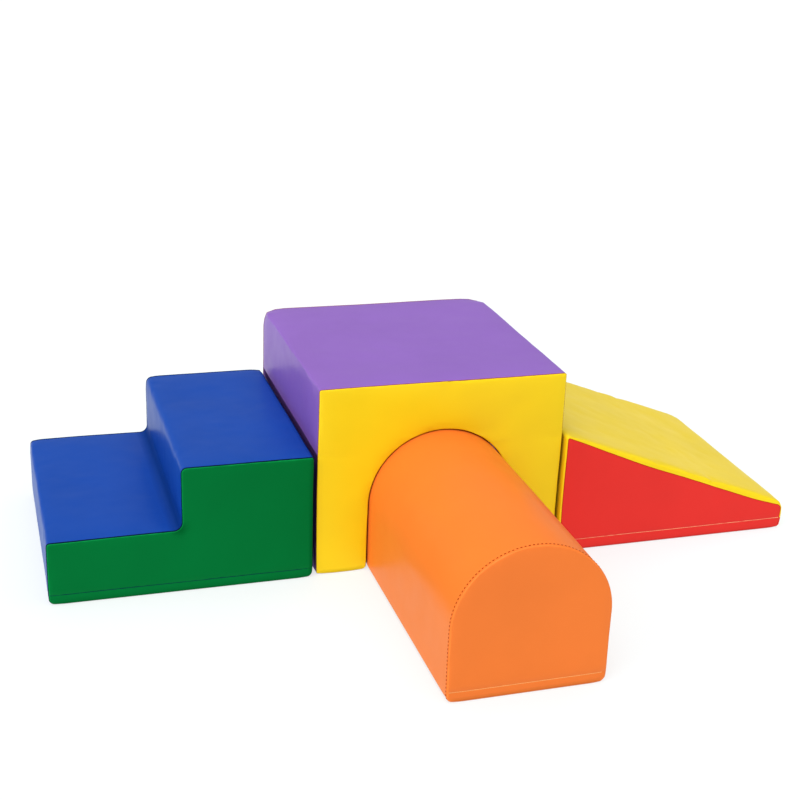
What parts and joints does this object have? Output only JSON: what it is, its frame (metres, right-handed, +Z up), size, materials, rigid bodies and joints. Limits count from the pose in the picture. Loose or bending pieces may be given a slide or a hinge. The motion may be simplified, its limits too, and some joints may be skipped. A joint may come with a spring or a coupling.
{
  "type": "soft play foam climber",
  "caption": "Foam crawl and climb set: two steps, a tunnel block with a sliding arch bolster, and a slide wedge, in sewn vinyl covers.",
  "frame": {"origin": "on the floor, at the middle of the whole set's bounding box", "axes": "+X from the steps to the slide, +Y from the bolster's free end into the tunnel, +Z up"},
  "size_m": [1.2272, 0.7954, 0.308],
  "materials": {
    "blue_vinyl": "satin",
    "green_vinyl": "satin",
    "purple_vinyl": "satin",
    "yellow_vinyl": "satin",
    "red_vinyl": "satin",
    "orange_vinyl": "satin",
    "foam": "matte",
    "grip_sheet": "matte",
    "zip_tape": "matte",
    "zip_metal": "satin",
    "hook_and_loop": "matte"
  },
  "bodies": {
    "tunnel": {"tunnel_foam_core": "foam", "tunnel_wrap_cover": "purple_vinyl", "tunnel_lining": "purple_vinyl", "tunnel_front_panel": "yellow_vinyl", "tunnel_back_panel": "yellow_vinyl", "tunnel_base_left": "grip_sheet", "tunnel_base_right": "grip_sheet", "tunnel_zip_tape_upper": "zip_tape", "tunnel_zip_tape_lower": "zip_tape", "tunnel_hook_strip_left_1": "hook_and_loop", "tunnel_hook_strip_left_2": "hook_and_loop", "tunnel_hook_strip_right_1": "hook_and_loop", "tunnel_hook_strip_right_2": "hook_and_loop"},
    "steps": {"steps_foam_core": "foam", "steps_wrap_cover": "blue_vinyl", "steps_front_panel": "green_vinyl", "steps_back_panel": "green_vinyl", "steps_base_sheet": "grip_sheet", "steps_zip_tape_upper": "zip_tape", "steps_zip_tape_lower": "zip_tape", "steps_loop_strip_1": "hook_and_loop", "steps_loop_strip_2": "hook_and_loop"},
    "slide": {"slide_foam_core": "foam", "slide_wrap_cover": "yellow_vinyl", "slide_front_panel": "red_vinyl", "slide_back_panel": "red_vinyl", "slide_base_sheet": "grip_sheet", "slide_zip_tape_upper": "zip_tape", "slide_zip_tape_lower": "zip_tape", "slide_loop_strip_1": "hook_and_loop", "slide_loop_strip_2": "hook_and_loop"},
    "bolster": {"bolster_foam_core": "foam", "bolster_wrap_cover": "orange_vinyl", "bolster_front_panel": "orange_vinyl", "bolster_back_panel": "orange_vinyl", "bolster_base_sheet": "grip_sheet", "bolster_zip_tape_upper": "zip_tape", "bolster_zip_tape_lower": "zip_tape"},
    "tunnel_zip_slider": {"tunnel_zip_slider": "zip_metal"},
    "tunnel_zip_pull": {"tunnel_zip_pull": "zip_metal"},
    "steps_zip_slider": {"steps_zip_slider": "zip_metal"},
    "steps_zip_pull": {"steps_zip_pull": "zip_metal"},
    "slide_zip_slider": {"slide_zip_slider": "zip_metal"},
    "slide_zip_pull": {"slide_zip_pull": "zip_metal"},
    "bolster_zip_slider": {"bolster_zip_slider": "zip_metal"},
    "bolster_zip_pull": {"bolster_zip_pull": "zip_metal"}
  },
  "joints": [
    {"name": "bolster_push_in", "type": "slide", "parent": "tunnel", "child": "bolster", "axis": [0, 1, 0], "range_m": [-0.1, 0.386]},
    {"name": "steps_pull_away", "type": "slide", "parent": "tunnel", "child": "steps", "axis": [-1, 0, 0], "range_m": [0, 0.2]},
    {"name": "slide_pull_away", "type": "slide", "parent": "tunnel", "child": "slide", "axis": [1, 0, 0], "range_m": [0, 0.2]},
    {"name": "tunnel_zip_open", "type": "slide", "parent": "tunnel", "child": "tunnel_zip_slider", "axis": [-1, 0, 0], "range_m": [0, 0.315]},
    {"name": "tunnel_zip_pull_turn", "type": "hinge", "parent": "tunnel_zip_slider", "child": "tunnel_zip_pull", "pos_m": [0.14998, 0.39595, 0.268], "axis": [0, 0, -1], "range_deg": [0, 175]},
    {"name": "steps_zip_open", "type": "slide", "parent": "steps", "child": "steps_zip_slider", "axis": [-1, 0, 0], "range_m": [0, 0.315]},
    {"name": "steps_zip_pull_turn", "type": "hinge", "parent": "steps_zip_slider", "child": "steps_zip_pull", "pos_m": [-0.25592, 0.38095, 0.034], "axis": [0, 0, -1], "range_deg": [0, 175]},
    {"name": "slide_zip_open", "type": "slide", "parent": "slide", "child": "slide_zip_slider", "axis": [-1, 0, 0], "range_m": [0, 0.223]},
    {"name": "slide_zip_pull_turn", "type": "hinge", "parent": "slide_zip_slider", "child": "slide_zip_pull", "pos_m": [0.46444, 0.38295, 0.034], "axis": [0, 0, -1], "range_deg": [0, 175]},
    {"name": "bolster_zip_open", "type": "slide", "parent": "bolster", "child": "bolster_zip_slider", "axis": [-1, 0, 0], "range_m": [0, 0.147]},
    {"name": "bolster_zip_pull_turn", "type": "hinge", "parent": "bolster_zip_slider", "child": "bolster_zip_pull", "pos_m": [0.06598, 0.00995, 0.034], "axis": [0, 0, -1], "range_deg": [0, 175]}
  ]
}
